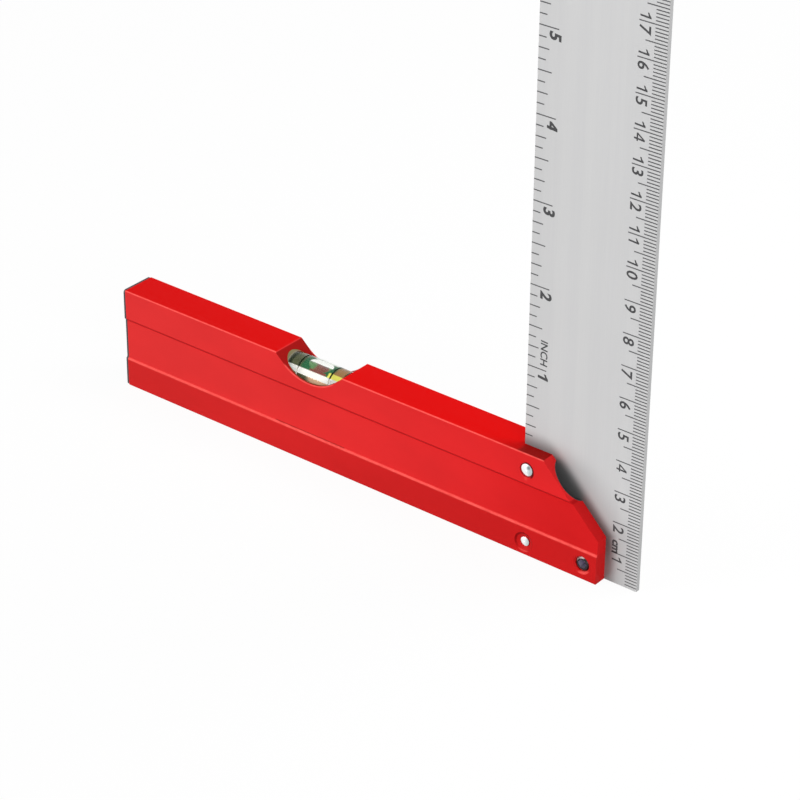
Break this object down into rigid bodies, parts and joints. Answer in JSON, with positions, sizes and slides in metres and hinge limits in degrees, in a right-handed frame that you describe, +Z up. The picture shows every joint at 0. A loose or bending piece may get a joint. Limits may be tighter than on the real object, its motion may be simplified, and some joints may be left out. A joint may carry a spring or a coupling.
{
  "type": "carpenter square",
  "caption": "Try square: a graduated aluminium blade riveted at right angles in a mitred red handle, with a level in the handle.",
  "frame": {"origin": "under the middle of the whole outline, on the plane of the handle's underside", "axes": "+X along the handle towards the blade, +Z up along the blade, -Y out of the face that has the set screw"},
  "size_m": [0.1914, 0.012, 0.3],
  "materials": {
    "handle_red": "satin red coat on drawn aluminium",
    "blade_aluminium": "fine satin aluminium with dark graduations",
    "cap_plastic": "moulded, fine texture",
    "vial_acrylic": "clear acrylic, polished",
    "vial_liquid": "green level liquid",
    "ring_black": "black",
    "pin_steel": "bright peened end",
    "screw_black": "black oxide steel"
  },
  "bodies": {
    "root": {"handle": "handle_red", "blade": "blade_aluminium", "end_cap": "cap_plastic", "vial_body": "vial_acrylic", "vial_plug": "vial_acrylic", "vial_fluid": "vial_liquid", "vial_ring_left": "ring_black", "vial_ring_right": "ring_black", "upper_pin": "pin_steel", "lower_pin": "pin_steel", "set_screw": "screw_black"}
  },
  "joints": []
}
